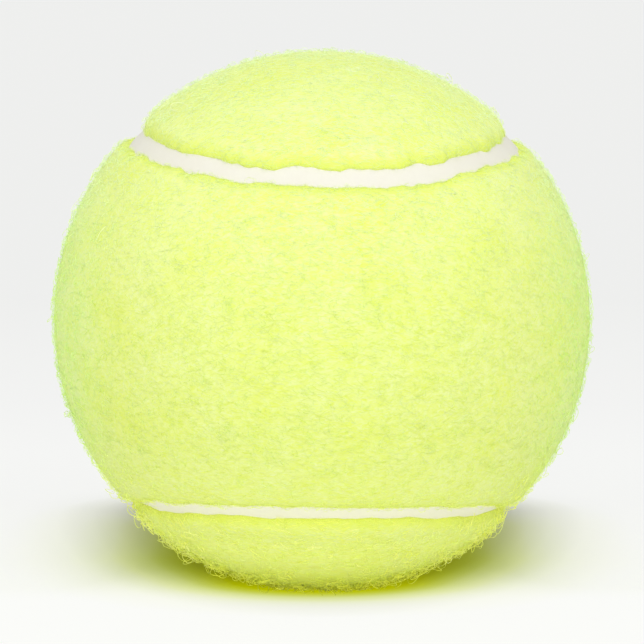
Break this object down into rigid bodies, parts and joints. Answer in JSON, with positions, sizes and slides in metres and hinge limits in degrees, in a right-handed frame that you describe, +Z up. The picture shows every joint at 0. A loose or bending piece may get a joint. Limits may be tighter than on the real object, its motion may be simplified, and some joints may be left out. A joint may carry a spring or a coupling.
{
  "type": "tennis ball",
  "caption": "Pressurised tennis ball: hollow rubber core in half shells, cement layers, interlocking dumbbell felt panels and a raised-nap cover parted by a pale seam.",
  "frame": {"origin": "centre of the ball, which is the centre of its bounding box", "axes": "+Z up as the ball rests; +Y is the axis about which a quarter turn with a reflection swaps the two felt panels. The front panel has its waist at -Y and its lobes at +X and -X; the back panel has its waist at +Y and its lobes at +Z and -Z"},
  "size_m": [0.067, 0.067, 0.067],
  "materials": {
    "felt": "matte",
    "seam_cement": "satin",
    "core_rubber": "matte",
    "joint_cement": "satin",
    "coat_cement": "satin",
    "backing_cement": "matte"
  },
  "bodies": {
    "root": {"core_half_front": "core_rubber", "core_half_back": "core_rubber", "core_joint": "joint_cement", "core_coat": "coat_cement", "backing_front": "backing_cement", "backing_back": "backing_cement", "felt_front": "felt", "felt_back": "felt", "seam_strip": "seam_cement"}
  },
  "joints": []
}
